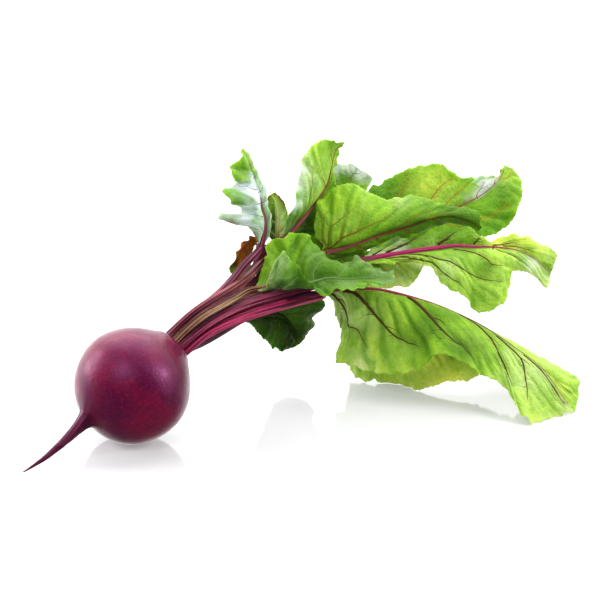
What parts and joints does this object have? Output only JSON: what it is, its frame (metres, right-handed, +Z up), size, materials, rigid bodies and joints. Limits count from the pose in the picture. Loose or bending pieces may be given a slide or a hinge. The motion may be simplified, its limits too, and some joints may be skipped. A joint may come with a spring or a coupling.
{
  "type": "beetroot",
  "caption": "Whole fresh beetroot lying on its side: round root with its taproot and a sprawling bunch of ribbed stalks with large wavy leaves.",
  "frame": {"origin": "middle of the small flat under the root, where it rests", "axes": "+X along the bunch from the root to the leaf tips, +Y away from the side that the picture shows, +Z up"},
  "size_m": [0.345, 0.2351, 0.1628],
  "materials": {
    "root_skin": "satin skin",
    "pink_stalk": "satin",
    "purple_stalk": "satin",
    "tan_stalk": "satin",
    "olive_stalk": "satin",
    "bright_green_blade": "satin leaf",
    "mid_green_blade": "satin leaf",
    "dark_green_blade": "satin leaf",
    "olive_green_blade": "satin leaf",
    "yellow_green_blade": "satin leaf",
    "silver_green_blade": "satin leaf",
    "rust_blade": "dry leaf"
  },
  "bodies": {
    "root": {"root": "root_skin", "leaf_sprawling_stalk": "pink_stalk", "leaf_sprawling_blade": "bright_green_blade", "leaf_centre_stalk": "pink_stalk", "leaf_centre_blade": "mid_green_blade", "leaf_right_stalk": "pink_stalk", "leaf_right_blade": "mid_green_blade", "leaf_far_stalk": "tan_stalk", "leaf_far_blade": "olive_green_blade", "leaf_tall_stalk": "pink_stalk", "leaf_tall_blade": "bright_green_blade", "leaf_curled_stalk": "purple_stalk", "leaf_curled_blade": "silver_green_blade", "leaf_draped_stalk": "olive_stalk", "leaf_draped_blade": "mid_green_blade", "leaf_under_stalk": "purple_stalk", "leaf_under_blade": "dark_green_blade", "leaf_yellow_stalk": "tan_stalk", "leaf_yellow_blade": "yellow_green_blade", "leaf_rear_stalk": "tan_stalk", "leaf_rear_blade": "bright_green_blade", "leaf_small_stalk": "tan_stalk", "leaf_small_blade": "dark_green_blade", "leaf_withered_stalk": "tan_stalk", "leaf_withered_blade": "rust_blade"}
  },
  "joints": []
}
